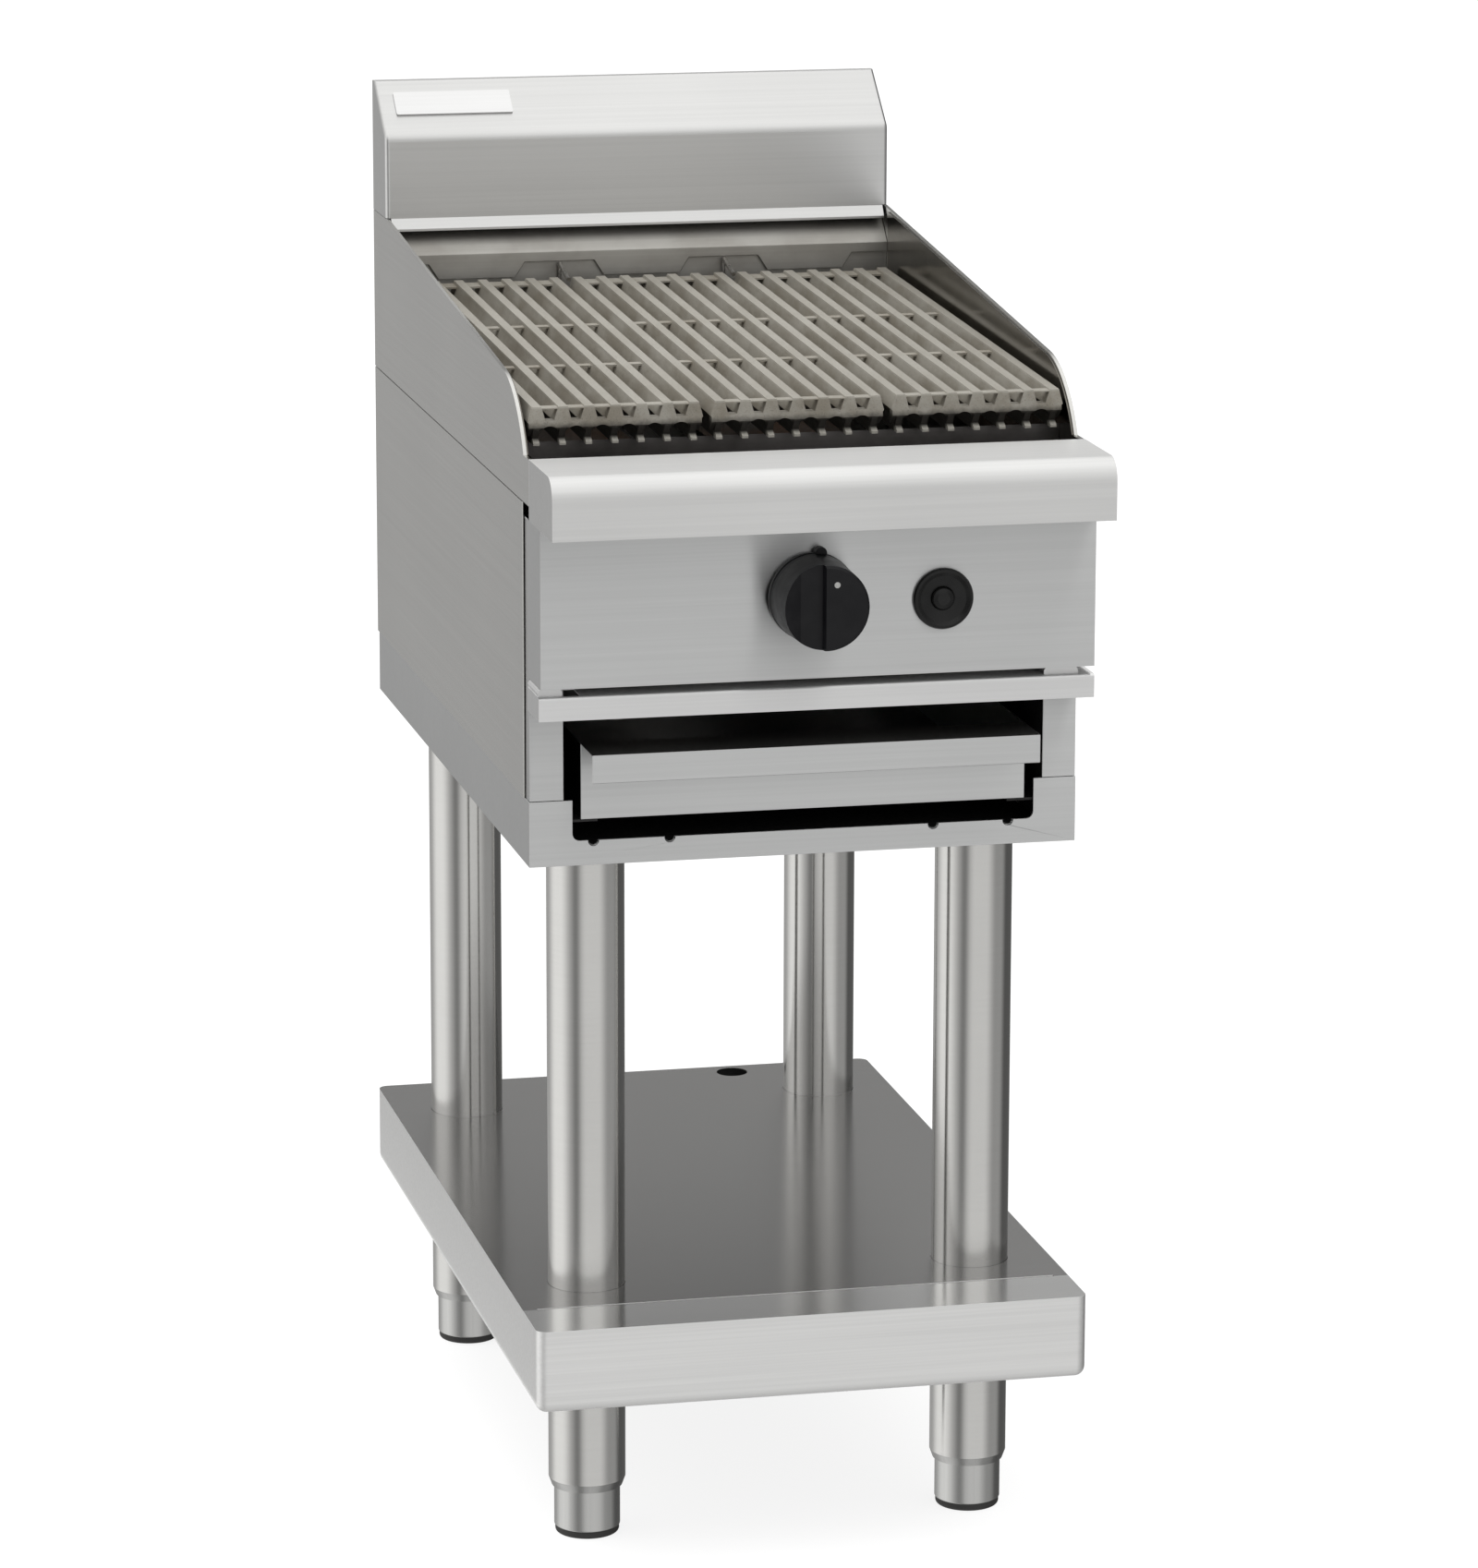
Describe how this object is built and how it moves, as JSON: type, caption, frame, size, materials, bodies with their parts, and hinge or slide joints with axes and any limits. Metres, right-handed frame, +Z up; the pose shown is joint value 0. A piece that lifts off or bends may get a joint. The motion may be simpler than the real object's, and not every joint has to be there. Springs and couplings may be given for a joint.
{
  "type": "gas chargrill on leg stand",
  "caption": "Commercial gas chargrill with cast grates, raised side wings, splashback and drip tray on an open tubular leg stand with undershelf.",
  "frame": {"origin": "on the floor, under the centre of the bounding box", "axes": "+X to the cook's right, -Y towards the cook, +Z up"},
  "size_m": [0.456, 0.816, 1.13],
  "materials": {
    "panel_steel": "fine brushed stainless steel",
    "nose_steel": "satin stainless steel",
    "splash_steel": "fine brushed stainless steel",
    "shelf_steel": "fine brushed stainless steel",
    "leg_tube": "polished stainless tube",
    "foot_metal": "turned stainless steel",
    "foot_rubber": "black rubber",
    "bolt_steel": "zinc-plated steel",
    "liner_steel": "heat-stained stainless steel",
    "baffle_steel": "stainless steel, lightly heat-stained",
    "gutter_steel": "stainless steel",
    "bay_steel": "dark aluminised sheet",
    "firebox_steel": "heat-stained sheet",
    "tray_steel": "brushed stainless steel",
    "grate_iron": "bare cast iron",
    "burner_iron": "cast iron",
    "gas_metal": "plain metal",
    "brass": "plain brass",
    "knob_plastic": "heat-resistant black plastic",
    "marker_white": "white paint",
    "igniter_plastic": "black plastic",
    "badge_metal": "plain satin aluminium, blank"
  },
  "bodies": {
    "appliance": {"side_panel_left": "panel_steel", "side_panel_right": "panel_steel", "side_wing_left": "panel_steel", "side_wing_right": "panel_steel", "rear_panel": "panel_steel", "control_panel": "panel_steel", "front_surround": "panel_steel", "base_frame": "panel_steel", "ledge_strip": "panel_steel", "nose": "nose_steel", "splashback": "splash_steel", "undershelf": "shelf_steel", "leg_fl": "leg_tube", "leg_fr": "leg_tube", "leg_bl": "leg_tube", "leg_br": "leg_tube", "foot_collars": "foot_metal", "corner_bolts": "bolt_steel", "shelf_collars": "bolt_steel", "grate_pegs": "bolt_steel", "wing_liner_left": "liner_steel", "wing_liner_right": "liner_steel", "flue_baffle": "baffle_steel", "grease_gutter": "gutter_steel", "bay_side_left": "bay_steel", "bay_side_right": "bay_steel", "bay_floor": "bay_steel", "firebox_floor": "bay_steel", "firebox_front": "firebox_steel", "firebox_rear": "baffle_steel", "burner_left": "burner_iron", "burner_right": "burner_iron", "radiant_left": "burner_iron", "radiant_right": "burner_iron", "manifold": "gas_metal", "gas_valve": "gas_metal", "gas_inlet_pipe": "gas_metal", "pilot_burner": "gas_metal", "piezo_body": "gas_metal", "injectors": "brass", "thermocouple": "brass", "igniter_bezel": "igniter_plastic", "badge_plate": "badge_metal"},
    "drip_tray": {"drip_tray": "tray_steel"},
    "grate_left": {"grate_left": "grate_iron"},
    "grate_centre": {"grate_centre": "grate_iron"},
    "grate_right": {"grate_right": "grate_iron"},
    "spindle": {"valve_spindle": "bolt_steel"},
    "knob": {"knob": "knob_plastic", "knob_dot": "marker_white"},
    "igniter_button": {"igniter_button": "igniter_plastic"},
    "foot_fl": {"foot_insert_fl": "foot_metal", "foot_pad_fl": "foot_rubber"},
    "foot_fr": {"foot_insert_fr": "foot_metal", "foot_pad_fr": "foot_rubber"},
    "foot_bl": {"foot_insert_bl": "foot_metal", "foot_pad_bl": "foot_rubber"},
    "foot_br": {"foot_insert_br": "foot_metal", "foot_pad_br": "foot_rubber"}
  },
  "joints": [
    {"name": "tray_slide", "type": "slide", "parent": "appliance", "child": "drip_tray", "axis": [0, -1, 0], "range_m": [0, 0.65]},
    {"name": "knob_push", "type": "slide", "parent": "appliance", "child": "spindle", "axis": [0, 1, 0], "range_m": [0, 0.004], "stiffness_N_per_m": 1500},
    {"name": "knob_turn", "type": "hinge", "parent": "spindle", "child": "knob", "pos_m": [-0.008, -0.38, 0.806], "axis": [0, -1, 0], "range_deg": [0, 180]},
    {"name": "igniter_push", "type": "slide", "parent": "appliance", "child": "igniter_button", "axis": [0, 1, 0], "range_m": [0, 0.005], "stiffness_N_per_m": 900},
    {"name": "grate_left_lift", "type": "slide", "parent": "appliance", "child": "grate_left", "axis": [0, 0, 1], "range_m": [0, 0.3]},
    {"name": "grate_centre_lift", "type": "slide", "parent": "appliance", "child": "grate_centre", "axis": [0, 0, 1], "range_m": [0, 0.3]},
    {"name": "grate_right_lift", "type": "slide", "parent": "appliance", "child": "grate_right", "axis": [0, 0, 1], "range_m": [0, 0.3]},
    {"name": "foot_fl_adjust", "type": "slide", "parent": "appliance", "child": "foot_fl", "axis": [0, 0, -1], "range_m": [-0.008, 0.02]},
    {"name": "foot_fr_adjust", "type": "slide", "parent": "appliance", "child": "foot_fr", "axis": [0, 0, -1], "range_m": [-0.008, 0.02]},
    {"name": "foot_bl_adjust", "type": "slide", "parent": "appliance", "child": "foot_bl", "axis": [0, 0, -1], "range_m": [-0.008, 0.02]},
    {"name": "foot_br_adjust", "type": "slide", "parent": "appliance", "child": "foot_br", "axis": [0, 0, -1], "range_m": [-0.008, 0.02]}
  ]
}
